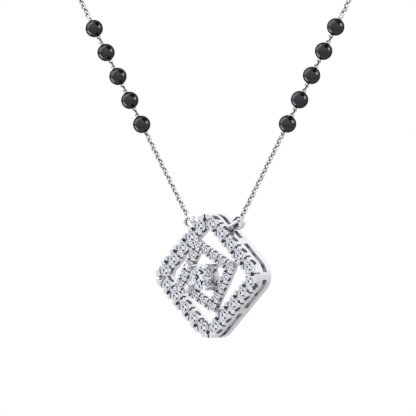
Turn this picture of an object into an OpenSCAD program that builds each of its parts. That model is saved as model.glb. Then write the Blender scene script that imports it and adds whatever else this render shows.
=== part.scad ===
// Mangalsutra: an open square pendant set with stones, on a fine chain with black beads.
// Millimetres, +Z up, the pendant's face towards -Y, origin at the middle of the wearer's neck.

/* [Pendant frame] */
// Side of the outer square, across the metal
frame_w = 14; // [13.6:0.1:15]
// Width of the metal that carries the outer stones
arm_w = 2.07; // [2:0.01:2.2]
// Radius of the square's outer corners
corner_r = 2.7; // [2.5:0.05:2.9]
// From the outer wall in to the middle of the row of stones
row_inset = 1.08; // [1.05:0.01:1.15]
// Height of the stone band behind the stones' girdles
band_back = 1.22; // [1.16:0.02:1.5]
// Height of the open gallery between the band and the back rim
gallery_h = 0.96; // [0.8:0.02:1.2]
// Thickness of the back rim
rim_t = 1.12; // [0.8:0.02:1.2]
// Width of the back rim and the gallery posts
rim_w = 0.95; // [0.8:0.05:1.1]
// Width of a gallery post in the middle of a side
post_w = 1.08; // [0.9:0.02:1.3]
// Width of a gallery post at a corner
corner_post_w = 1.12; // [1:0.02:1.5]

/* [Inner square] */
// Turn of the inner square's corners from the horizontal
inner_turn = 15.7; // [14:0.1:17]
// Width of the metal that carries the inner stones
inner_arm_w = 1.44; // [1.4:0.02:1.56]
// How far the inner girdles stand in front of the outer ones
inner_lift = 0.72; // [0.6:0.02:0.8]
// Depth of the inner square behind its girdles
inner_back = 0.9; // [0.8:0.02:1]
// From the middle of an inner corner stone to the wall of the arm beside it
inner_reach = 0.9835; // [0.95:0.0005:1.1]

/* [Stones] */
// Clear space between two outer stones of a side
outer_stone_gap = 0.467; // [0.43:0.001:0.6]
// Clear space between two inner stones of a side
inner_stone_gap = 0.4; // [0.35:0.01:0.5]
// Clear space between the centre stone and the inner square
centre_gap = 0.58; // [0.54:0.01:0.7]
// How far the centre girdle stands in front of the outer ones
centre_lift = 1.7; // [1.6:0.05:1.9]

/* [Centre setting] */
// Diameter of a centre prong
prong_d = 0.76; // [0.6:0.02:0.8]
// Angle of a centre prong from the horizontal
prong_angle = 44.7; // [42:0.1:48]
// Width of the flat ring at the foot of the setting
foot_w = 0.95; // [0.8:0.05:1.1]
// Width of a bar between the setting and the inner square
bar_w = 0.9; // [0.6:0.05:1.2]

/* [Rings and eyelets] */
// Wire of a jump ring
ring_wire = 0.54; // [0.44:0.01:0.56]
// Diameter of a jump ring through the middle of its wire
ring_d = 1.66; // [1.62:0.02:1.8]
// Wire of an eyelet
eyelet_wire = 0.5; // [0.4:0.01:0.52]

/* [Beads] */
// Diameter of a black bead
bead_d = 2.5; // [2.3:0.05:2.55]
// Spacing of the beads along a strand
bead_pitch = 3.985; // [3.96:0.005:4.3]
// Beads on each strand
bead_count = 5; // [3:1:7]
// Bore through a bead
bead_bore = 0.6; // [0.4:0.02:0.7]
// Wire of the bead pins and their links
bead_wire = 0.2; // [0.15:0.01:0.21]
// From the pendant's middle up a strand to the lowest bead
first_bead = 25.08; // [23:0.02:27]

/* [Chain] */
// Width of the fine chain
chain_d = 0.78; // [0.6:0.02:0.9]
// Angle of a strand from the vertical
strand_angle = 31.3; // [26:0.1:34]
// Length of a straight strand up from the pendant's middle
strand_len = 97; // [85:0.5:105]
// Radius of the bend over the shoulder
bend_r = 15; // [12:0.5:18]
// Straight run from the bend back to the nape curve
side_run = 22; // [15:0.5:30]
// Length of the clasp's barrel
clasp_len = 8; // [6:0.5:10]
// Diameter of the clasp's barrel
clasp_d = 2.4; // [2:0.1:3]

/* [Hidden] */
$fn = 48;

// Clearance round a stone in its seat and between parts that only touch
gap = 0.03;
// Overlap where two parts of one soldered piece join
lap = 0.05;

// Brilliant cut as shares of the diameter: table, crown, girdle and pavilion
table_share = 0.57;
crown_share = 0.15;
girdle_share = 0.03;
pavilion_share = 0.43;
// Where the crown and pavilion facets meet between girdle and middle
crown_mid_share = 0.78;
pavilion_mid_share = 0.24;

// Outer square
half = frame_w / 2;
row = half - row_inset;
inner_wall = half - arm_w;
stones_per_side = 4;
// A side's stones and the corner stone before them
stones_per_turn = stones_per_side + 1;
// Spacing of the outer stones, as a share of the side
pitch_share = 0.15836;
outer_pitch = frame_w * pitch_share;
outer_stone_d = outer_pitch - outer_stone_gap;
// The row starts a little off the middle of its side, so the corners read as a pinwheel
row_shift = -0.305;
corner_stone_inset = 1.41;
corner_stone_turn = 6;
corner_stone_r = (half - corner_r) * sqrt(2) + corner_r - corner_stone_inset;
row_start = row_shift - outer_pitch;
rim_back = band_back + gallery_h + rim_t;
rim_bevel = 0.14;

// Front of the stone band: in every gap between stones, on both walls of an arm, two
// round-cornered tips on the two sides of a slit that widens to a pit, and a low web between the pits
tip_front = 0.31;
tip_size = [0.67, 0.5];
tip_round = 0.16;
core_w = 0.7;
slit_w = 0.24;
slit_back = 0.5;
pit_r = 0.26;
pit_at = 0.5;
web_size = [0.9, 0.74];
web_back = 0.08;
// Width of a claw where the opening beside the stone is widest
claw_w = 0.52;
scallop_r = (outer_pitch - slit_w) / 2 - claw_w;
scallop_depth = 0.6;
scallop_in = 0.46;
tip_foot = scallop_depth - scallop_r;
corner_scallop_turn = 29;
seat_bore_r = 0.42;
claw_lap = 0.04;

// Corners of the outer square: a plain tab on each side of the slit
tab_reach = 1.26;
tab_w = 0.5;
tab_inner_reach = 0.45;
corner_pit_r = 0.34;
corner_pit_at = 0.72;
// Where the slit on the inner side of a corner begins
corner_slit_at = 0.2;
// Middle of a corner's slit, as a share of the way from the last stone of a side to the next one
corner_gap_share = 0.53;

// Inner square: its corner stones stand at one distance from the arms beside them
inner_rows = 4;
inner_half = (inner_wall - inner_reach) / (sqrt(2) * cos(45 - inner_turn));
inner_pitch = 2 * inner_half / inner_rows;
inner_stone_d = inner_pitch - inner_stone_gap;
inner_edge = inner_half + inner_arm_w / 2;
// Metal outside a corner stone's seat, which settles the round of the corner
inner_corner_wall = 0.05;
inner_corner_r =
    (inner_arm_w / sqrt(2) - inner_stone_d / 2 - gap - inner_corner_wall) / (sqrt(2) - 1);
// From the middle of a corner stone out to the metal that closes the corner
inner_cap_at = 0.1;
inner_tip_front = 0.24;
inner_tip_size = [0.48, 0.34];
inner_tip_round = 0.11;
inner_core_w = 0.48;
inner_slit_w = 0.18;
inner_slit_back = 0.4;
inner_pit_r = 0.17;
inner_pit_at = 0.34;
inner_web_size = [0.62, 0.42];
inner_web_back = 0.06;
inner_claw_w = 0.41;
inner_scallop_r = (inner_pitch - inner_slit_w) / 2 - inner_claw_w;
inner_scallop_depth = 0.46;
inner_scallop_in = 0.33;
inner_tip_foot = inner_scallop_depth - inner_scallop_r;
inner_bore_r = 0.28;
inner_claw_lap = 0.03;
corner_joint_w = 0.9;

foot_t = 0.45;

// Centre setting: the prongs stand on a circle round the girdle, over a shallow cup
centre_stone_d = 2 * (inner_half - inner_arm_w / 2 - centre_gap);
prong_r = prong_d / 2;
prong_out = 0.23;
prong_ring_r = centre_stone_d / 2 + prong_out;
prong_above = 1.38;
// How far the setting sits below the pendant's middle
centre_drop = 0.18;
prong_front = centre_lift + prong_above;
setting_back = inner_lift - inner_back;
// Thickness of a bar to the inner square
bar_t = 0.24;
// The foot ring's edge, in from the circle of the prongs
foot_in = 0.25;
foot_r = prong_ring_r - foot_in;
// The cup narrows by this much from the foot ring to its front edge
cup_in = 0.8;
cup_front = 0.36;
cup_rim_t = 0.12;
// Rail that joins the prongs and carries the stone just below its girdle
rail_out = -0.04;
rail_width = 0.26;
rail_span = [1.28, 1.45];
centre_bore_r = 0.9;
centre_seat_front = 2;
centre_seat_depth = 1.1;
centre_claw_lap = 0.16;
// Overlap of a bar with the setting and with the inner square
bar_lap = 0.3;

// Eyelets and jump rings, seen from the front on the right-hand side
hang_depth = 1.64;
eyelet_turn = 36;
eyelet_at = turn([-2.545, half + 0.86], -45);
ring_at = turn([-2.386, half + 1.368], -45);
eyelet_leg = 1.35;
// Between the middles of an eyelet's two legs, so that they clear the ring between them as it swings
eyelet_gap = ring_wire + eyelet_wire + 4 * gap;
// Post behind each eyelet, from and to along its side
eyelet_post = [2.03, 3.3];

// Strands: each lies on a line through the middle of its jump ring
strand_x = ring_at.x - ring_at.y * tan(strand_angle);
neck_r = strand_x + (strand_len + bend_r) * sin(strand_angle);
pendant_z = -(strand_len + bend_r) * cos(strand_angle);
strand_y = -(bend_r + side_run);
pendant_y = strand_y - hang_depth;

// Bead pins: an oval eye at each end of a straight wire through the bead
pin_gap = 0.02;
eye_r = 0.24;
eye_straight = 0.14;
eye_z = bead_d / 2 + pin_gap + eye_r + bead_wire / 2;
link_end = eye_z + eye_r - bead_wire - pin_gap;
link_r = 0.25;

// Chain tubes
tube_sides = 8;
bend_steps = 5;
nape_steps = 14;
ring_top = (ring_at.x - strand_x) * sin(strand_angle) + ring_at.y * cos(strand_angle)
    + (ring_d + ring_wire) / 2;
clasp_eye_r = 0.32;
clasp_wire = 0.3;
clasp_reach = clasp_len / 2 + 2 * clasp_eye_r + clasp_wire;
nape_end = asin((clasp_reach + gap) / neck_r);

frame_stones = 4 * stones_per_turn;
SIDES = ["left", "right"];

function unit(v) = v / norm(v);
function polar(r, a, z) = [r * cos(a), r * sin(a), z];

// Middle of outer stone number i, counted clockwise from the first corner stone
function side_point(i) =
    i % stones_per_turn == 0
        ? corner_stone_r * [-sin(45 - corner_stone_turn), cos(45 - corner_stone_turn)]
        : [row_start + (i % stones_per_turn - 1) * outer_pitch, row];
function turn(p, a) = [p.x * cos(a) - p.y * sin(a), p.x * sin(a) + p.y * cos(a)];
function frame_stone_at(i) = turn(side_point(i), -45 - 90 * floor(i / stones_per_turn));

// Middle of inner stone number i, counted clockwise from a corner
function inner_stone_at(i) =
    turn([-inner_half + (i % inner_rows) * inner_pitch, inner_half],
        -45 + inner_turn - 90 * floor(i / inner_rows));

// Route of the right-hand chain beyond the beads, from distance u up the strand to the clasp
function strand_dir() = [sin(strand_angle), 0, cos(strand_angle)];
function strand_point(u) = [strand_x, strand_y, pendant_z] + u * strand_dir();
function bend_point(a) =
    strand_point(strand_len) + bend_r * (sin(a) * strand_dir() + (1 - cos(a)) * [0, 1, 0]);
function nape_point(a) = [neck_r * cos(a), neck_r * sin(a), 0];
function neck_route(u) = concat(
    [for (t = [0, 0.33, 0.67]) strand_point(u + t * (strand_len - u))],
    [for (k = [0:bend_steps]) bend_point(90 * k / bend_steps)],
    [for (k = [0:nape_steps]) nape_point((90 - nape_end) * k / nape_steps)]
);

// Side direction that no stretch of the route runs along
side_ref = [1, 0, -1];
function tangent(p, i) = unit(p[min(i + 1, len(p) - 1)] - p[max(i - 1, 0)]);
function ring_points(p, i, r) =
    let (t = tangent(p, i), n = unit(cross(t, side_ref)), b = cross(t, n))
    [for (k = [0:tube_sides - 1]) let (a = 360 * k / tube_sides) p[i] + r * (cos(a) * n + sin(a) * b)];

// One closed tube swept along the points
module tube(p, r) {
    last = len(p) - 1;
    n = tube_sides;
    polyhedron(
        points = [for (i = [0:last]) each ring_points(p, i, r)],
        faces = concat(
            [[for (k = [n - 1:-1:0]) k]],
            [for (i = [0:last - 1], k = [0:n - 1])
                [i * n + k, i * n + (k + 1) % n, (i + 1) * n + (k + 1) % n, (i + 1) * n + k]],
            [[for (k = [0:n - 1]) last * n + k]]
        ),
        convexity = 6
    );
}

// Round brilliant with its girdle on z = 0: a table, 8 stars, 8 kites, 16 upper halves,
// a 16-sided girdle, 16 lower halves and 8 mains that meet in a point
module brilliant(d) {
    r = d / 2;
    g = girdle_share * d / 2;
    table_r = table_share * r;
    table_z = g + crown_share * d;
    mid_r = crown_mid_share * r;
    mid_z = g + (table_z - g) * (r - mid_r * cos(22.5)) / (r - table_r);
    low_r = pavilion_mid_share * r;
    low_z = -g - pavilion_share * d * (r - low_r * cos(22.5)) / r;
    corners = concat(
        [for (k = [0:7]) polar(table_r, 45 * k, table_z)],
        [for (k = [0:7]) polar(mid_r, 45 * k + 22.5, mid_z)],
        [for (k = [0:15]) polar(r, 22.5 * k, g)],
        [for (k = [0:15]) polar(r, 22.5 * k, -g)],
        [for (k = [0:7]) polar(low_r, 45 * k + 22.5, low_z)],
        [[0, 0, -g - pavilion_share * d]]
    );
    top = 0;
    mid = 8;
    upper = 16;
    lower = 32;
    low = 48;
    tip = 56;
    next = [for (k = [0:7]) (k + 1) % 8];
    prev = [for (k = [0:7]) (k + 7) % 8];
    polyhedron(
        points = corners,
        faces = concat(
            [[for (k = [7:-1:0]) top + k]],
            [for (k = [0:7]) [top + k, top + next[k], mid + k]],
            [for (k = [0:7]) [top + k, mid + k, upper + 2 * k, mid + prev[k]]],
            [for (k = [0:7]) [mid + k, upper + 2 * k + 1, upper + 2 * k]],
            [for (k = [0:7]) [mid + k, upper + (2 * k + 2) % 16, upper + 2 * k + 1]],
            [for (k = [0:15]) [upper + k, upper + (k + 1) % 16, lower + (k + 1) % 16, lower + k]],
            [for (k = [0:7]) [low + k, lower + 2 * k, lower + 2 * k + 1]],
            [for (k = [0:7]) [low + k, lower + 2 * k + 1, lower + (2 * k + 2) % 16]],
            [for (k = [0:7]) [tip, low + prev[k], lower + 2 * k, low + k]]
        ),
        convexity = 2
    );
}

// Space that a stone's seat takes out of the metal, with the girdle on z = 0
module seat(d, bore_r, front, depth, overlap) {
    r = d / 2 + gap;
    g = girdle_share * d / 2;
    slope_low = 2 * pavilion_share;
    slope_high = crown_share / (0.5 - table_share / 2);
    claw_r = d / 2 - overlap;
    rotate_extrude()
        polygon([
            [0, -depth],
            [bore_r, -depth],
            [bore_r, -g - gap - (r - bore_r) * slope_low],
            [r, -g - gap],
            [r, g + gap],
            [claw_r, g + gap + (r - claw_r) * slope_high],
            [claw_r, front],
            [0, front]
        ]);
}

// Square with round corners, as exact arcs
module round_square(h, r) {
    square([2 * h, 2 * (h - r)], center = true);
    square([2 * (h - r), 2 * h], center = true);
    for (x = [-1, 1], y = [-1, 1])
        translate([x, y] * (h - r)) circle(r);
}

module square_ring(outer, outer_r, width) {
    difference() {
        round_square(outer, outer_r);
        round_square(outer - width, max(outer_r - width, 0.3));
    }
}

module ring_prism(outer, outer_r, width, back, front) {
    translate([0, 0, back])
        linear_extrude(front - back) square_ring(outer, outer_r, width);
}

// Ring of round wire in the XY plane
module wire_ring(r, wire) {
    rotate_extrude() translate([r, 0]) circle(d = wire, $fn = 24);
}

module round_rect(size, r) {
    square([size.x, size.y - 2 * r], center = true);
    square([size.x - 2 * r, size.y], center = true);
    for (x = [-1, 1], y = [-1, 1])
        translate([x * (size.x / 2 - r), y * (size.y / 2 - r)]) circle(r, $fn = 24);
}

// Two round-cornered prong tips against the wall at y = wall, on both sides of a slit
module tip_pair(wall, size, r, slit) {
    for (m = [-1, 1])
        translate([m * (slit + size.x) / 2, wall - sign(wall) * size.y / 2]) round_rect(size, r);
}

// What the cutter takes out of one gap between stones: two slits, two pits and the web's top
module gap_cut(slit, reach, slit_back, pit_r, pit_at, web, web_back, front) {
    for (a = [0, 180]) rotate(a) {
        translate([-slit / 2, pit_at, -slit_back]) cube([slit, reach - pit_at, slit_back + front]);
        translate([0, pit_at, -slit_back]) cylinder(r = pit_r, h = slit_back + front, $fn = 24);
    }
    translate([-web.x / 2, -web.y / 2, -web_back]) cube([web.x, web.y, web_back + front]);
}

// Round-bottomed opening in the wall beside one stone, along +Y
module scallop(r, depth, from, to) {
    translate([0, from, r - depth]) rotate([-90, 0, 0]) cylinder(r = r, h = to - from);
}

// Gaps between neighbouring stones along one side of the outer square
outer_gaps = concat([(side_point(0).x + row_start) / 2],
    [for (k = [0:stones_per_side - 2]) row_start + (k + 0.5) * outer_pitch]);

// The gap at a corner lies between the last stone of one side and the first of the next
corner_last = side_point(stones_per_side);
corner_first = turn(side_point(0), -90);
corner_gap = corner_last + corner_gap_share * (corner_first - corner_last);
corner_gap_turn = -atan2(corner_last.y - corner_first.y, corner_first.x - corner_last.x);

module at_corner_gap() {
    translate(corner_gap) rotate(corner_gap_turn) children();
}

// Plain metal outside and inside the two stones at a corner
module corner_tabs_2d() {
    intersection() {
        square_ring(half, corner_r, tab_w);
        at_corner_gap() translate([-tab_reach, 0]) square([2 * tab_reach, half]);
    }
    intersection() {
        square_ring(inner_wall + tab_w, corner_r - arm_w + tab_w, tab_w);
        at_corner_gap() translate([-tab_inner_reach, -half]) square([2 * tab_inner_reach, half]);
    }
}

module outer_front_2d() {
    square_ring(row + core_w, corner_r - row_inset + core_w, 2 * core_w);
    for (q = [0:3]) rotate(-90 * q) {
        for (s = outer_gaps) translate([s, row]) {
            tip_pair(row_inset, tip_size, tip_round, slit_w);
            tip_pair(row_inset - arm_w, tip_size, tip_round, slit_w);
        }
        corner_tabs_2d();
    }
}

module gallery_2d() {
    intersection() {
        square_ring(half, corner_r, rim_w);
        union() {
            for (a = [0, 90]) rotate(a) square([post_w, 2 * half + 1], center = true);
            for (a = [45, 135]) rotate(a) square([corner_post_w, 3 * half], center = true);
            // A wider post behind each eyelet, on the two upper sides
            translate([-eyelet_post[1], row - 1]) square([eyelet_post[1] - eyelet_post[0], half]);
            translate([-half - 1, eyelet_post[0]]) square([half, eyelet_post[1] - eyelet_post[0]]);
        }
    }
}

module outer_square() {
    difference() {
        union() {
            ring_prism(half, corner_r, arm_w, -band_back, -tip_foot);
            translate([0, 0, -tip_foot - lap]) linear_extrude(tip_front + tip_foot + lap) outer_front_2d();
            translate([0, 0, -band_back - gallery_h - lap]) linear_extrude(gallery_h + 2 * lap) gallery_2d();
            ring_prism(half, corner_r, rim_w, -rim_back + rim_bevel, -band_back - gallery_h);
            ring_prism(half - rim_bevel, corner_r - rim_bevel, rim_w - 2 * rim_bevel,
                -rim_back, -rim_back + rim_bevel + lap);
        }
        for (q = [0:3]) rotate(-90 * q) {
            for (k = [0:stones_per_side]) translate([side_point(k).x, side_point(k).y, 0]) {
                seat(outer_stone_d, seat_bore_r, tip_front + 1, band_back + 1, claw_lap);
                scallop(scallop_r, scallop_depth, row_inset - scallop_in, row_inset + 1);
                rotate(k == 0 ? 180 + corner_scallop_turn : 180)
                    scallop(scallop_r, scallop_depth, row_inset - scallop_in, arm_w);
            }
            for (s = outer_gaps) translate([s, row, 0])
                gap_cut(slit_w, row_inset + lap, slit_back, pit_r, pit_at, web_size, web_back, tip_front + 1);
            at_corner_gap() {
                translate([-slit_w / 2, corner_pit_at, -slit_back]) cube([slit_w, arm_w, slit_back + 1]);
                translate([0, corner_pit_at, -slit_back])
                    cylinder(r = corner_pit_r, h = slit_back + 1, $fn = 24);
                translate([-slit_w / 2, -arm_w, -slit_back])
                    cube([slit_w, arm_w - corner_slit_at, slit_back + 1]);
                translate([-web_size.x / 2, -web_size.y / 2, -web_back]) cube([web_size.x, web_size.y, 1]);
            }
        }
    }
}

inner_gaps = [for (k = [0:inner_rows - 1]) -inner_half + (k + 0.5) * inner_pitch];

module inner_front_2d() {
    square_ring(inner_half + inner_core_w, inner_corner_r - inner_arm_w / 2 + inner_core_w, 2 * inner_core_w);
    for (q = [0:3]) rotate(-90 * q) {
        for (s = inner_gaps) translate([s, inner_half]) {
            tip_pair(inner_arm_w / 2, inner_tip_size, inner_tip_round, inner_slit_w);
            tip_pair(-inner_arm_w / 2, inner_tip_size, inner_tip_round, inner_slit_w);
        }
        // Round metal outside each corner stone
        intersection() {
            square_ring(inner_edge, inner_corner_r, inner_arm_w / 2);
            translate([1, 1] * (inner_half + inner_cap_at)) square(inner_arm_w);
        }
    }
}

module inner_square() {
    difference() {
        union() {
            ring_prism(inner_edge, inner_corner_r, inner_arm_w, -inner_back, -inner_tip_foot);
            translate([0, 0, -inner_tip_foot - lap]) linear_extrude(inner_tip_front + inner_tip_foot + lap)
                inner_front_2d();
        }
        for (q = [0:3]) rotate(-90 * q) {
            for (k = [0:inner_rows - 1]) translate([-inner_half + k * inner_pitch, inner_half, 0]) {
                seat(inner_stone_d, inner_bore_r, inner_tip_front + 1, inner_back + 1, inner_claw_lap);
                if (k > 0)
                    for (a = [0, 180]) rotate(a)
                        scallop(inner_scallop_r, inner_scallop_depth,
                            inner_arm_w / 2 - inner_scallop_in, inner_arm_w);
            }
            for (s = inner_gaps) translate([s, inner_half, 0])
                gap_cut(inner_slit_w, inner_arm_w / 2 + lap, inner_slit_back, inner_pit_r, inner_pit_at,
                    inner_web_size, inner_web_back, inner_tip_front + 1);
        }
    }
}

// Short foot that solders each corner of the inner square to the arm beside it
module corner_joints() {
    reach = inner_wall + lap;
    corner = inner_half * sqrt(2);
    start = corner * cos(45 - inner_turn);
    side = corner * sin(45 - inner_turn);
    for (q = [0:3])
        rotate(45 - 90 * q) translate([start, -side - corner_joint_w / 2, setting_back])
            cube([reach - start, corner_joint_w, foot_t]);
}

module disc_ring(r, width, back, front) {
    translate([0, 0, back]) difference() {
        cylinder(r = r, h = front - back);
        translate([0, 0, -1]) cylinder(r = r - width, h = front - back + 2);
    }
}

// Foot ring that rises inward to a cup, open in the middle
module cup() {
    height = cup_front - setting_back;
    translate([0, 0, setting_back]) difference() {
        union() {
            cylinder(r = foot_r, h = cup_rim_t);
            translate([0, 0, cup_rim_t]) cylinder(r1 = foot_r, r2 = foot_r - cup_in, h = height - cup_rim_t);
        }
        translate([0, 0, -1]) cylinder(r = foot_r - foot_w, h = height + 2);
    }
}

module centre_setting() {
    translate([0, -centre_drop, 0]) difference() {
        union() {
            for (a = [prong_angle, 180 - prong_angle, 180 + prong_angle, -prong_angle])
                rotate(a) translate([prong_ring_r, 0, setting_back]) {
                    cylinder(r = prong_r, h = prong_front - setting_back - prong_r);
                    translate([0, 0, prong_front - setting_back - prong_r]) sphere(prong_r);
                }
            cup();
            disc_ring(centre_stone_d / 2 + rail_out, rail_width, rail_span[0], rail_span[1]);
            // Bars to the two nearer walls of the inner square
            for (a = [0, 180])
                rotate(inner_turn - 45 + a) translate([foot_r - bar_lap, -bar_w / 2, setting_back])
                    cube([inner_edge - inner_arm_w + 2 * bar_lap - foot_r, bar_w, bar_t]);
        }
        translate([0, 0, centre_lift])
            seat(centre_stone_d, centre_bore_r, centre_seat_front, centre_seat_depth, centre_claw_lap);
    }
}

// Eyelet: two legs and a half round, in the plane square to the pendant's face
module eyelet() {
    leg_x = eyelet_gap / 2;
    translate([eyelet_at.x, eyelet_at.y, -hang_depth]) rotate(eyelet_turn) rotate([90, 0, 0]) {
        intersection() {
            wire_ring(leg_x, eyelet_wire);
            translate([0, -2, -2]) cube(4);
        }
        for (m = [-1, 1])
            translate([0, m * leg_x, 0]) rotate([0, -90, 0])
                cylinder(d = eyelet_wire, h = eyelet_leg, $fn = 24);
    }
}

// Places a shape drawn with the pendant's face towards +Z
module on_pendant() {
    translate([0, pendant_y, pendant_z]) rotate([90, 0, 0]) children();
}

module pendant_frame() {
    color([0.84, 0.83, 0.86]) on_pendant() {
        rotate(-45) outer_square();
        translate([0, 0, inner_lift]) rotate(inner_turn - 45) inner_square();
        corner_joints();
        centre_setting();
        eyelet();
        mirror([1, 0, 0]) eyelet();
    }
}

module centre_stone() {
    color([0.9, 0.95, 1]) on_pendant()
        translate([0, -centre_drop, centre_lift]) rotate(11) brilliant(centre_stone_d);
}

module inner_stones() {
    color([0.9, 0.95, 1]) on_pendant()
        for (i = [0:4 * inner_rows - 1])
            translate([inner_stone_at(i).x, inner_stone_at(i).y, inner_lift]) brilliant(inner_stone_d);
}

module frame_stone(i) {
    at = frame_stone_at(i);
    color([0.9, 0.95, 1]) on_pendant() translate([at.x, at.y, 0]) brilliant(outer_stone_d);
}

// Puts a right-hand shape on the named side
module on_side(s) {
    mirror([s == "left" ? 1 : 0, 0, 0]) children();
}

// Frame on the right-hand strand: +Z runs up the strand from the pendant's middle
module on_strand(s, u) {
    on_side(s) translate(strand_point(u)) rotate([0, strand_angle, 0]) children();
}

module jump_ring(s) {
    color([0.84, 0.83, 0.86]) on_side(s) on_pendant()
        translate([ring_at.x, ring_at.y, -hang_depth]) wire_ring(ring_d / 2, ring_wire);
}

module bead(s, i) {
    color([0.2, 0.2, 0.22]) on_strand(s, first_bead + (bead_count - i) * bead_pitch)
        difference() {
            sphere(d = bead_d);
            cylinder(d = bead_bore, h = bead_d + 1, center = true);
        }
}

// Oval of round wire in the XY plane, long in X
module oval_ring(r, straight, wire) {
    for (m = [0, 1]) mirror([m, 0, 0]) {
        translate([straight / 2, 0, 0]) intersection() {
            wire_ring(r, wire);
            translate([0, -2 * r, -wire]) cube([2 * r, 4 * r, 2 * wire]);
        }
        for (y = [-r, r])
            translate([-lap, y, 0]) rotate([0, 90, 0]) cylinder(d = wire, h = straight / 2 + lap, $fn = 24);
    }
}

module bead_pin() {
    cylinder(d = bead_wire, h = 2 * (eye_z - eye_r), center = true, $fn = 24);
    for (m = [-1, 1])
        translate([0, 0, m * eye_z]) rotate([90, 0, 0]) oval_ring(eye_r, eye_straight, bead_wire);
}

module bead_pins(s) {
    color([0.84, 0.83, 0.86])
        for (i = [1:bead_count]) on_strand(s, first_bead + (bead_count - i) * bead_pitch) bead_pin();
}

// Oval link between two eyes, turned across them
module bead_link() {
    rotate([0, 90, 0]) oval_ring(link_r, bead_pitch - 2 * link_end - 2 * link_r, bead_wire);
}

module bead_links(s) {
    color([0.84, 0.83, 0.86])
        for (i = [1:bead_count - 1])
            on_strand(s, first_bead + (i - 0.5) * bead_pitch) bead_link();
}

module front_chain(s) {
    color([0.84, 0.83, 0.86]) on_side(s)
        tube([strand_point(ring_top + gap), strand_point(first_bead - eye_z - eye_r - bead_wire / 2 - gap)],
            chain_d / 2);
}

module neck_chain(s) {
    top_bead = first_bead + (bead_count - 1) * bead_pitch;
    color([0.84, 0.83, 0.86]) on_side(s)
        tube(neck_route(top_bead + eye_z + eye_r + bead_wire / 2 + gap), chain_d / 2);
}

// Plain barrel with an eye at each end, at the nape
module clasp() {
    color([0.84, 0.83, 0.86]) translate([0, neck_r * cos(nape_end), 0]) rotate([0, 90, 0]) {
        cylinder(d = clasp_d, h = clasp_len - clasp_d, center = true);
        for (m = [-1, 1]) {
            translate([0, 0, m * (clasp_len - clasp_d) / 2]) sphere(d = clasp_d);
            translate([0, 0, m * (clasp_len / 2 + clasp_eye_r)]) rotate([90, 0, 0])
                wire_ring(clasp_eye_r, clasp_wire);
        }
    }
}

pendant_frame();
centre_stone();
inner_stones();
for (i = [1:frame_stones])
    frame_stone(i - 1);
for (s = SIDES) {
    jump_ring(s);
    for (i = [1:bead_count])
        bead(s, i);
    bead_pins(s);
    bead_links(s);
    front_chain(s);
    neck_chain(s);
}
clasp();
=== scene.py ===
"""Looks of a mangalsutra: an open square pendant set with brilliants, a fine cable chain and black beads.

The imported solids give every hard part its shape. This file gives them their finishes, links the
chain out of real wire links, and sets up the floor, the light and the camera. Metres throughout.
"""

import math

import bpy
import numpy as np
from bpy.props import FloatProperty, FloatVectorProperty, IntProperty, PointerProperty
from bpy.types import Operator, Panel, PropertyGroup
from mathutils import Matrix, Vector


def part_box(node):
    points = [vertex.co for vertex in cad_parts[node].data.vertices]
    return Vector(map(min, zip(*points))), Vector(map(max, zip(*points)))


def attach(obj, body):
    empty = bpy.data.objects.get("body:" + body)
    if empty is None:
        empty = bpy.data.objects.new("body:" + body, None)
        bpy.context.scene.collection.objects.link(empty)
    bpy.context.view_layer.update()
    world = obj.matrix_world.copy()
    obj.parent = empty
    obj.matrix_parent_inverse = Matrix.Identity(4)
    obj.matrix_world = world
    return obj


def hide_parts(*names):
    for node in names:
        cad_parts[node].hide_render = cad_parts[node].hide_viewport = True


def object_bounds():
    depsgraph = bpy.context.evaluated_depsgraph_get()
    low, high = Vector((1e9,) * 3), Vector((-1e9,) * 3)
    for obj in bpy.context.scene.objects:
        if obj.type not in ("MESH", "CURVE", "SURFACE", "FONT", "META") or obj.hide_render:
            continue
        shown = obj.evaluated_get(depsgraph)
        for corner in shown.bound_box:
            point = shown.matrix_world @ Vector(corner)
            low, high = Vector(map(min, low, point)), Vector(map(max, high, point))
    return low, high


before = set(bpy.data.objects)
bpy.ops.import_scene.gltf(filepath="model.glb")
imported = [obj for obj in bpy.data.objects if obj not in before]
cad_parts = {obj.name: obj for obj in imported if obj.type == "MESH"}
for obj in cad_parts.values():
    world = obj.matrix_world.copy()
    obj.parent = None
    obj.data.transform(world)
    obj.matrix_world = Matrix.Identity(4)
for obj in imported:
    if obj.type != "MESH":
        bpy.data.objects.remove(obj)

bl_info = {
    "name": "Mangalsutra",
    "version": (1, 0, 0),
    "blender": (4, 5, 0),
    "location": "View3D > Sidebar > Mangalsutra",
    "description": "Finishes, chain links and a studio for a mangalsutra necklace",
    "category": "Object",
}

CAD_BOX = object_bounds()
SIDES = (("left", -1), ("right", 1))
MM = 0.001


# Sizes and colours


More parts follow.
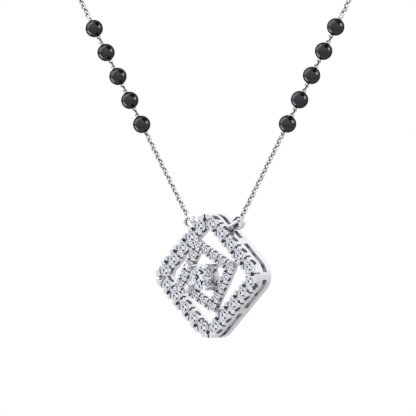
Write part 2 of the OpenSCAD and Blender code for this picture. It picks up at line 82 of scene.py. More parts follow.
class MetalLook(PropertyGroup):
    """The polished white metal, with shade painted into its hollows."""

    colour: FloatVectorProperty(
        name="Colour", description="Colour of the polished metal", subtype="COLOR",
        default=(0.70, 0.695, 0.735), min=0, max=1)
    # Painted shade: colour the metal turns to deep in its slits and pits, where light does not reach
    hollow_shade: FloatVectorProperty(
        name="Hollow colour", description="Colour deep in the slits and pits", subtype="COLOR",
        default=(0.27, 0.27, 0.285), min=0, max=1)
    # Painted shade: colour the metal turns to inside rings, eyes and links
    deep: FloatVectorProperty(
        name="Inner colour", description="Colour inside rings, eyes and links", subtype="COLOR",
        default=(0.05, 0.05, 0.055), min=0, max=1)
    roughness: FloatProperty(
        name="Roughness", description="Roughness of the polish", default=0.22, min=0, max=1)
    edge: FloatProperty(
        name="Edge radius", description="How far the polish has rounded the edges",
        default=0.05 * MM, subtype="DISTANCE", precision=6)
    # Reaches and depths of the painted shade in hollows, from metal around, in rings and in links
    hollow: FloatProperty(
        name="Hollow reach", description="Width of a hollow that reads dark",
        default=0.55 * MM, subtype="DISTANCE", precision=6)
    hollow_depth: FloatProperty(
        name="Hollow depth", description="How fast a hollow turns dark", default=1.0, min=0, max=8)
    shade: FloatProperty(
        name="Shade reach", description="How far off metal still shades a wall",
        default=1.6 * MM, subtype="DISTANCE", precision=6)
    shade_depth: FloatProperty(
        name="Shade depth", description="How strongly metal around shades a wall",
        default=0.6, min=0, max=8)
    ring_reach: FloatProperty(
        name="Ring reach", description="How far off other pieces still shade a ring",
        default=1.0 * MM, subtype="DISTANCE", precision=6)
    ring_depth: FloatProperty(
        name="Ring depth", description="How strongly the inside of a ring turns dark",
        default=3.0, min=0, max=8)
    link_reach: FloatProperty(
        name="Link reach", description="Width of the hollow in a chain link",
        default=0.6 * MM, subtype="DISTANCE", precision=6)
    link_depth: FloatProperty(
        name="Link depth", description="How fast the inside of a chain link turns dark",
        default=2.2, min=0, max=8)


class StoneLook(PropertyGroup):
    """The clear brilliants."""

    ior: FloatProperty(name="IOR", description="Refractive index", default=1.33, min=1, max=3)
    clearness: FloatProperty(
        name="Clearness", description="Share of light that goes through", default=0.1, min=0, max=1)
    large_steps: IntProperty(
        name="Centre steps", description="Parts of a facet's edge on the centre stone",
        default=8, min=1, max=12)
    small_steps: IntProperty(
        name="Small steps", description="Parts of a facet's edge on the other stones",
        default=4, min=1, max=8)
    # Size of the patches of painted light on each stone
    large_sparkle: FloatProperty(
        name="Centre sparkle", description="Patches of light to a radius of the centre stone",
        default=9, min=1, max=20)
    small_sparkle: FloatProperty(
        name="Small sparkle", description="Patches of light to a radius of the other stones",
        default=5.5, min=1, max=20)


class BeadLook(PropertyGroup):
    """The black beads."""

    colour: FloatVectorProperty(
        name="Colour", description="Colour of a bead", subtype="COLOR",
        default=(0.045, 0.045, 0.05), min=0, max=1)
    rim: FloatProperty(
        name="Rim", description="Shine at the rim of a bead", default=0.4, min=0, max=1)
    roughness: FloatProperty(
        name="Roughness", description="Roughness of a bead", default=0.12, min=0, max=1)


class ChainSizes(PropertyGroup):
    """The fine cable chain and its way round the neck."""

    link_width: FloatProperty(
        name="Link width", description="Outer width of a link", default=0.95 * MM,
        subtype="DISTANCE", precision=6)
    wire: FloatProperty(
        name="Wire", description="Wire of a link", default=0.25 * MM,
        subtype="DISTANCE", precision=6)
    pitch: FloatProperty(
        name="Pitch", description="Spacing of the links", default=0.71 * MM,
        subtype="DISTANCE", precision=6)
    play: FloatProperty(
        name="Play", description="Clear space between two links at rest", default=0.006 * MM,
        subtype="DISTANCE", precision=6)
    roll: FloatProperty(
        name="Roll", description="Turn of the first link about the chain",
        default=math.radians(-13.7), subtype="ANGLE")
    round_steps: IntProperty(
        name="Round steps", description="Steps round one end of a link", default=7, min=3, max=16)
    wire_sides: IntProperty(
        name="Wire sides", description="Sides of a link's wire", default=8, min=5, max=16)


class StageSizes(PropertyGroup):
    """The floor, the light and the camera."""

    azimuth: FloatProperty(
        name="Azimuth", description="Camera's turn round the object from the front",
        default=math.radians(35.4), subtype="ANGLE")
    frame_width: FloatProperty(
        name="Frame width", description="Width that the camera takes in at the pendant",
        default=58.74 * MM, subtype="DISTANCE", precision=5)
    lens: FloatProperty(name="Lens", description="Focal length in millimetres", default=1600)
    aim: FloatVectorProperty(
        name="Aim", description="Point at the middle of the picture",
        default=(0.035 * MM, -38.61 * MM, -86.12 * MM), subtype="XYZ")
    floor_drop: FloatProperty(
        name="Floor drop", description="Floor below the lowest point", default=420 * MM,
        subtype="DISTANCE", precision=4)
    floor_width: FloatProperty(
        name="Floor width", description="Width of the floor", default=0.8, subtype="DISTANCE")
    lamp_away: FloatProperty(
        name="Lamp distance", description="From the beads to each lamp", default=0.5,
        subtype="DISTANCE")
    pale: FloatVectorProperty(
        name="Pale", description="Colour of the floor", subtype="COLOR",
        default=(0.86, 0.86, 0.87), min=0, max=1)


# Lamps: shares to the camera's right, up and towards it, then width, height and glow
LAMPS = (
    ("window_lamp", (0.898, 0.411, 0.158), 0.22, 0.24, 6.5),
    ("strip_lamp", (-0.79, -0.58, -0.16), 0.24, 0.44, 5.5),
    ("over_lamp", (-0.72, 0.66, -0.1), 0.4, 0.7, 2.2),
)

# Strength of the studio from below and from above
SKY_LOW = 0.65
SKY_HIGH = 1.3
# A dark panel: shares to its middle as for the lamps, where it ends, where it is full, and its strength
PANEL_WAY = (0.535, 0.826, 0.17)
PANEL_EDGE = math.radians(34)
PANEL_CORE = math.radians(16)
PANEL_DIM = 0.05

LOOKS = (
    ("necklace_metal", MetalLook),
    ("necklace_stone", StoneLook),
    ("necklace_bead", BeadLook),
    ("necklace_chain", ChainSizes),
    ("necklace_stage", StageSizes),
)


# Nodes of the materials

METAL_MARKS = 1200.0
METAL_UNEVEN = 0.25
BEAD_MARKS = 1500.0
BEAD_UNEVEN = 0.2
STONE_ROUGHNESS = 0.02


def put(tree, kind, at=(0, 0), **values):
    """A new shader node, with sockets set by name or number."""
    node = tree.nodes.new(kind)
    node.location = at
    for key, value in values.items():
        if hasattr(node, key):
            setattr(node, key, value)
        else:
            node.inputs[key.replace("_", " ")].default_value = value
    return node


def group(name, inputs, outputs):
    """An empty shader node group with its sockets, and its two ends."""
    tree = bpy.data.node_groups.new(name, "ShaderNodeTree")
    for label, kind, default in inputs:
        socket = tree.interface.new_socket(label, in_out="INPUT", socket_type=kind)
        socket.default_value = default
    for label, kind in outputs:
        tree.interface.new_socket(label, in_out="OUTPUT", socket_type=kind)
    return tree, put(tree, "NodeGroupInput", (-900, 0)), put(tree, "NodeGroupOutput", (500, 0))


def hollow_group(name, local):
    """Mask for painted shade that is 1 on open metal and falls to 0 in hollows, of its own piece alone or
    of all around.
    """
    tree, start, end = group(
        name,
        [("Reach", "NodeSocketFloat", 0.0005), ("Depth", "NodeSocketFloat", 1.0)],
        [("Open", "NodeSocketFloat")])
    shade = put(tree, "ShaderNodeAmbientOcclusion", (-600, 0), samples=8, only_local=local)
    power = put(tree, "ShaderNodeMath", (-300, 0), operation="POWER")
    tree.links.new(start.outputs["Reach"], shade.inputs["Distance"])
    tree.links.new(shade.outputs["AO"], power.inputs[0])
    tree.links.new(start.outputs["Depth"], power.inputs[1])
    tree.links.new(power.outputs[0], end.inputs["Open"])
    return tree


def polish_group():
    """Very fine unevenness of hand polish, as a value for the roughness."""
    tree, start, end = group(
        "Polish marks",
        [("Scale", "NodeSocketFloat", 900.0), ("Low", "NodeSocketFloat", 0.1),
         ("High", "NodeSocketFloat", 0.3)],
        [("Roughness", "NodeSocketFloat")])
    where = put(tree, "ShaderNodeTexCoord", (-900, 200))
    noise = put(tree, "ShaderNodeTexNoise", (-600, 100), Detail=3.0, Roughness=0.6)
    span = put(tree, "ShaderNodeMapRange", (-300, 100))
    tree.links.new(where.outputs["Object"], noise.inputs["Vector"])
    tree.links.new(start.outputs["Scale"], noise.inputs["Scale"])
    tree.links.new(noise.outputs["Fac"], span.inputs["Value"])
    tree.links.new(start.outputs["Low"], span.inputs["To Min"])
    tree.links.new(start.outputs["High"], span.inputs["To Max"])
    tree.links.new(span.outputs["Result"], end.inputs["Roughness"])
    return tree


def hollow_mask(local):
    """The node group of one of the two masks, made when it is first asked for."""
    name = "Hollow mask" if local else "Shade mask"
    return bpy.data.node_groups.get(name) or hollow_group(name, local)


def polish_marks():
    """The node group of the polish, made when it is first asked for."""
    return bpy.data.node_groups.get("Polish marks") or polish_group()


def material(name):
    """A new material with its Principled shader, ready for nodes."""
    made = bpy.data.materials.new(name)
    made.use_nodes = True
    return made, made.node_tree, made.node_tree.nodes["Principled BSDF"]


def metal_material(name, look, edge, dark, masks):
    """Polished white metal, with edges that polish has rounded and shade painted into its hollows.

    Each mask paints shade into its colour in hollows and is given as local or not, reach and depth.
    """
    made, tree, skin = material(name)
    skin.inputs["Metallic"].default_value = 1.0
    light = None
    for k, (local, reach, depth) in enumerate(masks):
        mask = put(tree, "ShaderNodeGroup", (-1200, 200 * k), node_tree=hollow_mask(local))
        mask.inputs["Reach"].default_value = reach
        mask.inputs["Depth"].default_value = depth
        if light:
            both = put(tree, "ShaderNodeMath", (-900, 200 * k), operation="MULTIPLY")
            tree.links.new(light, both.inputs[0])
            tree.links.new(mask.outputs["Open"], both.inputs[1])
            light = both.outputs[0]
        else:
            light = mask.outputs["Open"]
    # Painted shade: the colour falls from the metal's own to the dark one where the masks close
    tone = put(tree, "ShaderNodeMix", (-600, 200), data_type="RGBA")
    tone.inputs["A"].default_value = (*dark, 1)
    tone.inputs["B"].default_value = (*look.colour, 1)
    marks = put(tree, "ShaderNodeGroup", (-900, -100), node_tree=polish_marks())
    marks.inputs["Scale"].default_value = METAL_MARKS
    marks.inputs["Low"].default_value = look.roughness * (1 - METAL_UNEVEN)
    marks.inputs["High"].default_value = look.roughness * (1 + METAL_UNEVEN)
    tree.links.new(light, tone.inputs["Factor"])
    tree.links.new(tone.outputs["Result"], skin.inputs["Base Color"])
    tree.links.new(marks.outputs["Roughness"], skin.inputs["Roughness"])
    if edge > 0:
        soft = put(tree, "ShaderNodeBevel", (-600, -300), samples=6)
        soft.inputs["Radius"].default_value = edge
        tree.links.new(soft.outputs["Normal"], skin.inputs["Normal"])
    return made


def stone_material(look):
    """Cut stone whose facets each keep the painted tone that light gives them."""
    made, tree, skin = material("Clear brilliant")
    tone = put(tree, "ShaderNodeVertexColor", (-600, 0), layer_name="Tone")
    tree.links.new(tone.outputs["Color"], skin.inputs["Base Color"])
    skin.inputs["IOR"].default_value = look.ior
    skin.inputs["Roughness"].default_value = STONE_ROUGHNESS
    skin.inputs["Transmission Weight"].default_value = look.clearness
    return made


def bead_material(look):
    """Glossy black bead."""
    made, tree, skin = material("Polished black")
    skin.inputs["Metallic"].default_value = 1.0
    skin.inputs["Specular Tint"].default_value = (look.rim, look.rim, look.rim, 1)
    marks = put(tree, "ShaderNodeGroup", (-900, -100), node_tree=polish_marks())
    marks.inputs["Scale"].default_value = BEAD_MARKS
    marks.inputs["Low"].default_value = look.roughness * (1 - BEAD_UNEVEN)
    marks.inputs["High"].default_value = look.roughness * (1 + BEAD_UNEVEN)
    skin.inputs["Base Color"].default_value = (*look.colour, 1)
    tree.links.new(marks.outputs["Roughness"], skin.inputs["Roughness"])
    return made


def dress(names, made):
    """Puts one material on carried-over nodes."""
    for name in names:
        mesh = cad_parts[name].data
        mesh.materials.clear()
        mesh.materials.append(made)


# The stones

# Brilliant cut, as shares of the radius
TABLE_R = 0.57
CROWN_MID_R = 0.78
LOWER_MID_R = 0.24
GIRDLE_Z = 0.03
TABLE_Z = 0.33
CULET_Z = 0.89
CENTRE_TURN = math.radians(11)

# Tones of the painted reflections and highlights on the stones
WHITE = (0.97, 0.98, 1.0)
ICE = (0.40, 0.50, 0.63)
BLUE_REFLECTION = (0.22, 0.30, 0.42)
STEEL = (0.10, 0.14, 0.20)
SLATE = (0.02, 0.03, 0.05)
BLACK_REFLECTION = (0.002, 0.002, 0.003)

# Painted reflections: marks that the light leaves on a stone as it is seen from its right: from, to,
# width and tone, in shares of the radius from the middle of the girdle
SMALL_MARKS = (
    ((0.05, 0.10), (0.18, -0.12), 0.34, WHITE),
    ((-0.26, 0.76), (-0.12, 0.52), 0.18, ICE),
    ((-0.46, -0.36), (-0.36, -0.48), 0.26, ICE),
    ((0.52, 0.16), (0.56, 0.02), 0.16, ICE),
    ((0.42, -0.44), (0.34, -0.58), 0.16, ICE),
    ((-0.66, 0.26), (-0.52, 0.44), 0.14, ICE),
    ((-0.05, -0.74), (0.06, -0.64), 0.14, ICE),
    ((-0.35, 0.06), (-0.31, -0.06), 0.27, SLATE),
    ((0.12, 0.44), (0.18, 0.36), 0.28, BLACK_REFLECTION),
    ((0.12, -0.46), (0.18, -0.38), 0.28, BLACK_REFLECTION),
)
LARGE_MARKS = (
    ((-0.15, 0.35), (0.15, -0.30), 0.22, WHITE),
    ((-0.42, 0.44), (-0.36, 0.34), 0.13, BLUE_REFLECTION),
    ((-0.52, 0.02), (-0.50, -0.08), 0.13, BLUE_REFLECTION),
    ((-0.34, -0.34), (-0.30, -0.44), 0.18, BLUE_REFLECTION),
    ((-0.10, 0.50), (0.00, 0.42), 0.14, ICE),
    ((0.40, -0.22), (0.44, -0.32), 0.14, BLUE_REFLECTION),
    ((-0.66, 0.62), (-0.56, 0.52), 0.09, ICE),
    ((0.10, -0.78), (0.30, -0.70), 0.09, ICE),
    ((0.64, 0.40), (0.56, 0.28), 0.09, ICE),
    ((-0.46, 0.86), (-0.45, 0.68), 0.10, STEEL),
    ((-0.05, 0.74), (0.00, 0.70), 0.13, STEEL),
    ((-0.64, 0.20), (-0.60, 0.17), 0.12, STEEL),
    ((-0.90, -0.02), (-0.88, -0.06), 0.10, STEEL),
    ((0.44, 0.10), (0.50, 0.14), 0.10, STEEL),
    ((0.58, 0.40), (0.60, 0.37), 0.10, STEEL),
    ((0.38, -0.62), (0.50, -0.48), 0.10, STEEL),
    ((0.66, 0.06), (0.84, 0.10), 0.10, SLATE),
    ((0.30, 0.62), (0.44, 0.56), 0.12, STEEL),
    ((0.66, -0.34), (0.74, -0.44), 0.12, STEEL),
    ((0.24, -0.02), (0.34, 0.06), 0.12, ICE),
    ((0.72, 0.30), (0.80, 0.22), 0.12, BLUE_REFLECTION),
    ((-0.78, 0.34), (-0.70, 0.30), 0.12, ICE),
    ((-0.62, -0.50), (-0.52, -0.60), 0.14, ICE),
    ((0.28, 0.76), (0.36, 0.82), 0.10, ICE),
    ((-0.14, -0.66), (-0.08, -0.76), 0.12, STEEL),
    ((0.84, -0.20), (0.86, -0.24), 0.14, SLATE),
    ((-0.17, 0.56), (0.04, 0.46), 0.11, BLACK_REFLECTION),
    ((0.04, 0.46), (0.20, 0.34), 0.15, BLACK_REFLECTION),
    ((0.20, 0.33), (-0.02, 0.27), 0.11, BLACK_REFLECTION),
    ((-0.40, 0.17), (-0.22, 0.00), 0.16, BLACK_REFLECTION),
    ((-0.22, 0.00), (-0.38, -0.17), 0.16, BLACK_REFLECTION),
    ((-0.02, -0.25), (0.10, -0.40), 0.13, BLACK_REFLECTION),
    ((0.20, -0.32), (0.10, -0.40), 0.13, BLACK_REFLECTION),
    ((0.12, -0.38), (0.08, -0.52), 0.16, BLACK_REFLECTION),
)
# Sideways shift of a mark for each step up the crown, from the side that the marks were drawn from
MARK_LEAN = 0.71
# Painted light of a patch between the marks: the dullest, and how much brighter the brightest is
PATCH_DULL = 0.58
PATCH_RISE = 0.54
# Patches above this share flash as painted highlights, and how far a flash turns to the ice tone
FLASH_FROM = 0.74
FLASH_ICE = 0.5
FLASH_SHIFT = 3
# The same two painted light tones for the pavilion and the girdle
UNDER_DULL = 0.45
UNDER_RISE = 0.5


def ring_of(radius, z, count, turn=0.0):
    """Points evenly round a circle, turned by a share of their spacing."""
    angles = 2 * math.pi * (np.arange(count) + turn) / count
    return np.stack([radius * np.cos(angles), radius * np.sin(angles), np.full(count, z)], 1)


def cut_facets():
    """Triangles of the crown, each with its facet's number, and faces of the rest, for a radius of 1."""
    table = ring_of(TABLE_R, TABLE_Z, 8)
    rise = TABLE_Z - GIRDLE_Z
    mid_z = GIRDLE_Z + rise * (1 - CROWN_MID_R * math.cos(math.pi / 8)) / (1 - TABLE_R)
    mids = ring_of(CROWN_MID_R, mid_z, 8, 0.5)
    girdle = ring_of(1, GIRDLE_Z, 16)
    under = ring_of(1, -GIRDLE_Z, 16)
    low_z = -GIRDLE_Z - (CULET_Z - GIRDLE_Z) * (1 - LOWER_MID_R * math.cos(math.pi / 8))
    lows = ring_of(LOWER_MID_R, low_z, 8, 0.5)
    culet = np.array([0, 0, -CULET_Z])
    top = np.array([0, 0, TABLE_Z])
    crown, rest = [], []
    for k in range(8):
        n, p = (k + 1) % 8, (k + 7) % 8
        crown += [
            (0, top, table[k], table[n]),
            (1 + k, table[k], mids[k], table[n]),
            (9 + k, table[k], mids[p], girdle[2 * k]),
            (9 + k, table[k], girdle[2 * k], mids[k]),
            (17 + k, mids[k], girdle[2 * k], girdle[2 * k + 1]),
            (25 + k, mids[k], girdle[2 * k + 1], girdle[(2 * k + 2) % 16]),
        ]
        rest += [
            (33 + k, lows[k], under[2 * k + 1], under[2 * k]),
            (41 + k, lows[k], under[(2 * k + 2) % 16], under[2 * k + 1]),
            (49 + k, culet, lows[k], under[2 * k], lows[p]),
        ]
    for k in range(16):
        n = (k + 1) % 16
        rest.append((57, girdle[k], under[k], under[n], girdle[n]))
    return crown, rest


def split(a, b, c, steps):
    """The triangle a b c cut into steps by steps smaller ones."""
    def at(i, j):
        """Point i steps from a towards b and j steps towards c."""
        return a + (b - a) * i / steps + (c - a) * j / steps
    for i in range(steps):
        for j in range(steps - i):
            yield at(i, j), at(i + 1, j), at(i, j + 1)
            if i + j < steps - 1:
                yield at(i + 1, j), at(i + 1, j + 1), at(i, j + 1)


def spread(*numbers):
    """A value from 0 to 1 that looks random but is the same each time."""
    return math.sin(sum(n * k for n, k in zip(numbers, (12.9898, 78.233, 37.719)))) * 43758.5453 % 1


def facet_tone(facet, where, marks, sparkle_scale):
    """Painted light of one small face, from the facet it lies on and the painted reflections over it."""
    u, v = where[0] - MARK_LEAN * where[2], where[1]
    patch = spread(facet, round(where[0] * sparkle_scale), round(where[1] * sparkle_scale))
    tone = np.array(WHITE) * min(1, PATCH_DULL + PATCH_RISE * patch)
    if spread(facet, round(u * sparkle_scale) + FLASH_SHIFT, round(v * sparkle_scale)) > FLASH_FROM:
        tone = (1 - FLASH_ICE) * tone + FLASH_ICE * np.array(ICE)
    for (u0, v0), (u1, v1), width, colour in marks:
        run = np.array([u1 - u0, v1 - v0])
        t = np.clip(((u - u0) * run[0] + (v - v0) * run[1]) / (run @ run), 0, 1)
        if math.hypot(u - u0 - t * run[0], v - v0 - t * run[1]) < width / 2:
            tone = np.array(colour)
    return tone


def islands(mesh):
    """Boxes of the separate solids of a mesh."""
    parent = list(range(len(mesh.vertices)))

    def root(i):
        while parent[i] != i:
            parent[i] = parent[parent[i]]
            i = parent[i]
        return i

    seen = {}
    for vertex in mesh.vertices:
        first = seen.setdefault(tuple(round(c, 7) for c in vertex.co), vertex.index)
        parent[root(vertex.index)] = root(first)
    for edge in mesh.edges:
        parent[root(edge.vertices[0])] = root(edge.vertices[1])
    groups = {}
    for vertex in mesh.vertices:
        groups.setdefault(root(vertex.index), []).append(vertex.co)
    return [(np.min(g, axis=0), np.max(g, axis=0)) for g in groups.values()]


def set_stones(node, steps, marks, sparkle_scale, turn, made):
    """Cut stones in place of the plain ones of a node."""
    crown, rest = cut_facets()
    faces, tones = [], []
    for facet, a, b, c in crown:
        for small in split(a, b, c, steps):
            faces.append(small)
            tones.append(facet_tone(facet, turned(sum(small) / 3, turn), marks, sparkle_scale))
    for facet, *corners in rest:
        faces.append(corners)
        tones.append(np.array(WHITE) * (UNDER_DULL + UNDER_RISE * spread(facet, len(corners))))
    points, polygons, colours = [], [], []
    for low, high in islands(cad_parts[node].data):
        radius = (high[0] - low[0]) / 2
        centre = np.array([(low[0] + high[0]) / 2, low[1] + TABLE_Z * radius, (low[2] + high[2]) / 2])
        for face, tone in zip(faces, tones):
            polygons.append(range(len(points), len(points) + len(face)))
            for corner in face:
                x, z, out = turned(corner, turn)
                points.append(centre + radius * np.array([x, -out, z]))
            colours += [(*tone, 1)] * len(face)
    mesh = bpy.data.meshes.new(node + "_cut")
    mesh.from_pydata(points, [], [list(p) for p in polygons])
    tone = mesh.color_attributes.new("Tone", "FLOAT_COLOR", "CORNER")
    tone.data.foreach_set("color", np.array(colours, np.float32).ravel())
    mesh.materials.append(made)
    cut = bpy.data.objects.new(node + "_cut", mesh)
    bpy.context.scene.collection.objects.link(cut)
    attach(cut, "pendant")
    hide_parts(node)


def turned(point, turn):
    """The point turned about its third axis."""
    x, y, z = point
    c, s = math.cos(turn), math.sin(turn)
    return np.array([x * c - y * s, x * s + y * c, z])


# The chain's way and its links

# The way that the swept tubes take, up a strand and round the nape
STRAND_TURN = math.radians(31.3)
BEND_R = 15 * MM
SIDE_RUN = 22 * MM
UP = np.array([math.sin(STRAND_TURN), 0, math.cos(STRAND_TURN)])
BACK = np.array([0, 1.0, 0])
STRAND_TOP_Z = -BEND_R * math.cos(STRAND_TURN)
# From a bead's middle to the wire of the link in its eye, and so for the clasp's middle
BEAD_GRIP = 1.62 * MM
CLASP_GRIP = 4.36 * MM
# Half the barrel, its eye across, the eye's wire and the clear space before the tube
CLASP_END = (4 + 2 * 0.32 + 0.3 + 0.03) * MM


def middle(node):
    """Middle of a CAD node's box."""
    low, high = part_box(node)
    return np.array((low + high) / 2)


def strand_reach(point):
    """How far up the right-hand strand a point lies, from its jump ring's middle."""
    return float((point - middle("jump_ring_right")) @ UP)


def strand_point(u):
    """Point of the right-hand strand at that reach."""
    return middle("jump_ring_right") + u * UP


def front_way(sizes):
    """Right-hand way from the inside of the jump ring to the eye of the lowest bead."""
    low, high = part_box("jump_ring_right")
    ring = (high.z - low.z) / 2 - (high.y - low.y) - sizes.wire / 2 - sizes.play
    bead = strand_reach(middle("bead_right_5")) - BEAD_GRIP
    return np.array([strand_point(ring), strand_point(bead)])


def neck_way(step=0.1 * MM):
    """Close points of the right-hand way from the top bead to the clasp's eye."""
    start = strand_reach(middle("bead_right_1")) + BEAD_GRIP
    last = (STRAND_TOP_Z - middle("jump_ring_right")[2]) / UP[2]
    top = strand_point(last)
    neck_r = top[0] + BEND_R * math.sin(STRAND_TURN)
    points = [strand_point(u) for u in np.arange(start, last, step)]
    for a in np.arange(0, math.pi / 2, step / BEND_R):
        points.append(top + BEND_R * (math.sin(a) * UP + (1 - math.cos(a)) * BACK))
    for y in np.arange(-SIDE_RUN, 0, step):
        points.append(np.array([neck_r, y, 0]))
    nape = math.pi / 2 - math.asin(CLASP_END / neck_r)
    for a in np.arange(0, nape, step / neck_r):
        points.append(np.array([neck_r * math.cos(a), neck_r * math.sin(a), 0]))
    y = neck_r * math.sin(nape)
    for x in np.arange(points[-1][0] - step, CLASP_GRIP, -step):
        points.append(np.array([x, y, 0]))
    points.append(np.array([CLASP_GRIP, y, 0]))
    return np.array(points)


def link_length(sizes):
    """Outer length of a link."""
    return sizes.pitch + 2 * sizes.wire + sizes.play


def link_shape(sizes):
    """Points and faces of one link, long in +Z and flat in the XZ plane."""
    wire_r = sizes.wire / 2
    end_r = sizes.link_width / 2 - wire_r
    straight = link_length(sizes) / 2 - wire_r - end_r
    n, m = sizes.round_steps, sizes.wire_sides
    core = []
    for k in range(2 * n):
        a = math.pi * (k + 0.5) / n
        core.append((end_r * math.cos(a), end_r * math.sin(a) + math.copysign(straight, math.sin(a)), a))
    points, faces = [], []
    for x, z, a in core:
        for j in range(m):
            b = 2 * math.pi * j / m
            r = wire_r * math.cos(b)
            points.append((x + r * math.cos(a), wire_r * math.sin(b), z + r * math.sin(a)))
    count = len(core)
    for i in range(count):
        for j in range(m):
            a, b = i * m + j, i * m + (j + 1) % m
            c, d = ((i + 1) % count) * m + (j + 1) % m, ((i + 1) % count) * m + j
            faces.append((a, b, c, d))
    return np.array(points), np.array(faces)


def link_row(name, way, sizes, mirror, replaced, made):
    """Links along a way, each turned a quarter from the one before it."""
    along = np.concatenate([[0], np.cumsum(np.linalg.norm(np.diff(way, axis=0), axis=1))])
    spare = link_length(sizes) - sizes.wire - sizes.pitch
    count = round((along[-1] - spare) / sizes.pitch)
    pitch = (along[-1] - spare) / count
    shape, faces = link_shape(sizes)
    points, all_faces = [], []
    normal = np.array([0, 1.0, 0])
    for i in range(count):
        s = spare / 2 + (i + 0.5) * pitch
        at = np.array([np.interp(s, along, way[:, k]) for k in range(3)])
        ahead = np.array([np.interp(s + pitch / 2, along, way[:, k]) for k in range(3)])
        behind = np.array([np.interp(s - pitch / 2, along, way[:, k]) for k in range(3)])
        t = (ahead - behind) / np.linalg.norm(ahead - behind)
        normal = normal - (normal @ t) * t
        if np.linalg.norm(normal) < 0.2:
            normal = np.array([0, 0, 1.0]) - t[2] * t
        normal /= np.linalg.norm(normal)
        side = np.cross(normal, t)
        turn = sizes.roll * mirror + (i % 2) * math.pi / 2
        x = math.cos(turn) * side + math.sin(turn) * normal
        y = np.cross(t, x)
        placed = at + shape[:, :1] * x + shape[:, 1:2] * y + shape[:, 2:] * t
        points.append(placed)
        all_faces.append(faces + i * len(shape))
    points = np.concatenate(points)
    all_faces = np.concatenate(all_faces)
    if mirror < 0:
        points[:, 0] *= -1
        all_faces = all_faces[:, ::-1]
    mesh = bpy.data.meshes.new(name)
    mesh.from_pydata(points.tolist(), [], all_faces.tolist())
    mesh.shade_smooth()
    mesh.materials.append(made)
    row = bpy.data.objects.new(name, mesh)
    bpy.context.scene.collection.objects.link(row)
    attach(row, "necklace")
    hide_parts(replaced)


# Operators


class NECKLACE_OT_metal(Operator):
    """Gives the pendant, rings, pins and clasp their polished white metal with painted shade in its
    hollows
    """

    bl_idname = "necklace.metal"
    bl_label = "Polish the metal"

    def execute(self, context):
        look = context.scene.necklace_metal
        # The same white metal in each material, each with its own painted shade
        near = (True, look.hollow, look.hollow_depth)
        wide = (True, look.shade, look.shade_depth)
        set_metal = metal_material("White metal, set", look, look.edge, look.hollow_shade, [near, wide])
        dress(["pendant_frame"], set_metal)
        rings = ["jump_ring_left", "jump_ring_right"]
        around = (False, look.ring_reach, look.ring_depth)
        dress(rings, metal_material("White metal, rings", look, 0, look.deep, [around]))
        wires = [n + s for s in ("_left", "_right") for n in ("bead_pins", "bead_links")]
        beside = (False, look.link_reach, look.link_depth)
        dress(wires, metal_material("White metal, wire", look, 0, look.deep, [beside]))
        dress(["clasp"], metal_material("White metal, clasp", look, 0, look.hollow_shade, [near]))
        return {"FINISHED"}


class NECKLACE_OT_stones(Operator):
    """Cuts the brilliants facet by facet and puts them in the seats of the plain ones"""

    bl_idname = "necklace.stones"
    bl_label = "Cut the stones"

    def execute(self, context):
        look = context.scene.necklace_stone
        made = stone_material(look)
        for node in [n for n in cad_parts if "stone" in n]:
            large = node == "centre_stone"
            steps = look.large_steps if large else look.small_steps
            marks = LARGE_MARKS if large else SMALL_MARKS
            sparkle_scale = look.large_sparkle if large else look.small_sparkle
            set_stones(node, steps, marks, sparkle_scale, CENTRE_TURN if large else 0, made)
        return {"FINISHED"}


class NECKLACE_OT_beads(Operator):
    """Gives the beads their black gloss"""

    bl_idname = "necklace.beads"
    bl_label = "Polish the beads"

    def execute(self, context):
        made = bead_material(context.scene.necklace_bead)
        beads = [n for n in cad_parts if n.startswith("bead_") and n[-1].isdigit()]
        dress(beads, made)
        return {"FINISHED"}


class NECKLACE_OT_chain(Operator):
    """Links the fine chain and puts it in place of the swept tubes"""

    bl_idname = "necklace.chain"
    bl_label = "Link the chain"

    def execute(self, context):
        sizes = context.scene.necklace_chain
        look = context.scene.necklace_metal
        # Painted shade inside each link
        inside = (True, look.link_reach, look.link_depth)
        made = metal_material("White metal, links", look, 0, look.deep, [inside])
        front = front_way(sizes)
        neck = neck_way()
        for side, sign in SIDES:
            link_row("front_links_" + side, front, sizes, sign, "front_chain_" + side, made)
            link_row("neck_links_" + side, neck, sizes, sign, "neck_chain_" + side, made)
        return {"FINISHED"}


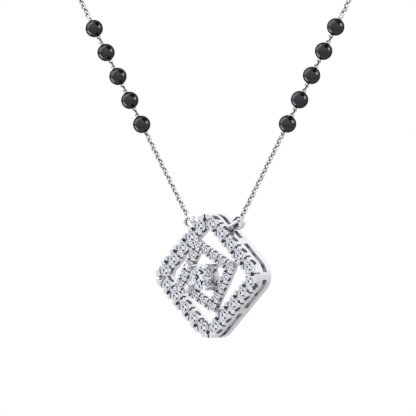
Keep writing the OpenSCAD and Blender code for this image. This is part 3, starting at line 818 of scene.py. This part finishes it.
class NECKLACE_OT_stage(Operator):
    """Sets the pale floor, the soft light and the camera"""

    bl_idname = "necklace.stage"
    bl_label = "Set the stage"

    def execute(self, context):
        sizes = context.scene.necklace_stage
        scene = context.scene
        self.floor(scene, sizes)
        self.world(scene, sizes)
        self.lamps(scene, sizes)
        self.camera(scene, sizes)
        scene.view_settings.view_transform = "Standard"
        return {"FINISHED"}

    def floor(self, scene, sizes):
        """A plain pale square below the object."""
        low, high = CAD_BOX
        h = sizes.floor_width / 2
        mesh = bpy.data.meshes.new("floor")
        mesh.from_pydata(
            [(-h, -h, 0), (h, -h, 0), (h, h, 0), (-h, h, 0)], [], [(0, 1, 2, 3)])
        made, tree, skin = material("Pale floor")
        skin.inputs["Base Color"].default_value = (*sizes.pale, 1)
        skin.inputs["Roughness"].default_value = 0.9
        mesh.materials.append(made)
        floor = bpy.data.objects.new("floor", mesh)
        floor.location.z = low.z - sizes.floor_drop
        scene.collection.objects.link(floor)

    def world(self, scene, sizes):
        """White to the camera, and to everything else a studio that is darker up on the right."""
        world = bpy.data.worlds.new("Studio")
        scene.world = world
        world.use_nodes = True
        tree = world.node_tree
        back = tree.nodes["Background"]
        back.inputs["Color"].default_value = (1, 1, 1, 1)
        way = put(tree, "ShaderNodeTexCoord", (-1200, 0))
        path = put(tree, "ShaderNodeLightPath", (-600, 300))
        height = put(tree, "ShaderNodeVectorMath", (-1000, 100), operation="DOT_PRODUCT")
        height.inputs[1].default_value = (0, 0, 1)
        base = put(tree, "ShaderNodeMapRange", (-800, 100), interpolation_type="SMOOTHSTEP")
        base.inputs["From Min"].default_value = -1.0
        base.inputs["To Min"].default_value = SKY_LOW
        base.inputs["To Max"].default_value = SKY_HIGH
        panel = put(tree, "ShaderNodeVectorMath", (-1000, -100), operation="DOT_PRODUCT")
        panel.inputs[1].default_value = self.aside(sizes, *PANEL_WAY)
        dark = put(tree, "ShaderNodeMapRange", (-800, -100), interpolation_type="SMOOTHSTEP")
        dark.inputs["From Min"].default_value = math.cos(PANEL_EDGE)
        dark.inputs["From Max"].default_value = math.cos(PANEL_CORE)
        dark.inputs["To Min"].default_value = 1.0
        dark.inputs["To Max"].default_value = PANEL_DIM
        both = put(tree, "ShaderNodeMath", (-600, 0), operation="MULTIPLY")
        seen = put(tree, "ShaderNodeMix", (-400, 100), data_type="FLOAT")
        seen.inputs["B"].default_value = 1.0
        tree.links.new(way.outputs["Generated"], height.inputs[0])
        tree.links.new(way.outputs["Generated"], panel.inputs[0])
        tree.links.new(height.outputs["Value"], base.inputs["Value"])
        tree.links.new(panel.outputs["Value"], dark.inputs["Value"])
        tree.links.new(base.outputs["Result"], both.inputs[0])
        tree.links.new(dark.outputs["Result"], both.inputs[1])
        tree.links.new(path.outputs["Is Camera Ray"], seen.inputs["Factor"])
        tree.links.new(both.outputs[0], seen.inputs["A"])
        tree.links.new(seen.outputs["Result"], back.inputs["Strength"])

    def aside(self, sizes, right, up, near):
        """Direction given as shares to the camera's right, up and towards it."""
        c, s = math.cos(sizes.azimuth), math.sin(sizes.azimuth)
        return (right * c + near * s, right * s - near * c, up)

    def lamps(self, scene, sizes):
        """Soft lamps that only show as reflections, such as those on the beads."""
        for name, side, width, height, glow in LAMPS:
            way = Vector(self.aside(sizes, *side)).normalized()
            data = bpy.data.lights.new(name, "AREA")
            data.shape = "RECTANGLE"
            data.size, data.size_y = width, height
            # An area lamp sends out its power over pi times its area
            data.energy = glow * math.pi * width * height
            lamp = bpy.data.objects.new(name, data)
            lamp.location = Vector(sizes.aim) + way * sizes.lamp_away
            lamp.rotation_mode = "QUATERNION"
            lamp.rotation_quaternion = way.to_track_quat("Z", "Y")
            lamp.visible_camera = False
            lamp.visible_diffuse = False
            scene.collection.objects.link(lamp)

    def camera(self, scene, sizes):
        """A level camera with a long lens, at the photograph's angle."""
        data = bpy.data.cameras.new("camera")
        data.lens = sizes.lens
        camera = bpy.data.objects.new("camera", data)
        away = sizes.frame_width * data.lens / data.sensor_width
        back = Vector((math.sin(sizes.azimuth), -math.cos(sizes.azimuth), 0))
        camera.location = Vector(sizes.aim) + back * away
        camera.rotation_mode = "QUATERNION"
        camera.rotation_quaternion = (-back).to_track_quat("-Z", "Y")
        data.clip_start, data.clip_end = away / 10, away * 4
        scene.collection.objects.link(camera)
        scene.camera = camera


OPERATORS = (
    NECKLACE_OT_metal,
    NECKLACE_OT_stones,
    NECKLACE_OT_beads,
    NECKLACE_OT_chain,
    NECKLACE_OT_stage,
)


class NECKLACE_PT_panel(Panel):
    """Lists the steps in the sidebar"""

    bl_idname = "NECKLACE_PT_panel"
    bl_label = "Mangalsutra"
    bl_space_type = "VIEW_3D"
    bl_region_type = "UI"
    bl_category = "Mangalsutra"

    def draw(self, context):
        for operator in OPERATORS:
            self.layout.operator(operator.bl_idname)
        for name, look in LOOKS:
            box = self.layout.box()
            for key in look.__annotations__:
                box.prop(getattr(context.scene, name), key)


CLASSES = tuple(look for _, look in LOOKS) + OPERATORS + (NECKLACE_PT_panel,)


def register():
    for cls in CLASSES:
        bpy.utils.register_class(cls)
    for name, look in LOOKS:
        setattr(bpy.types.Scene, name, PointerProperty(type=look))


def unregister():
    for name, _ in LOOKS:
        delattr(bpy.types.Scene, name)
    for cls in reversed(CLASSES):
        bpy.utils.unregister_class(cls)


def main():
    """Makes everything step by step."""
    register()
    for operator in OPERATORS:
        step = operator.bl_idname.split(".")[1]
        getattr(bpy.ops.necklace, step)()


if __name__ == "__main__":
    main()
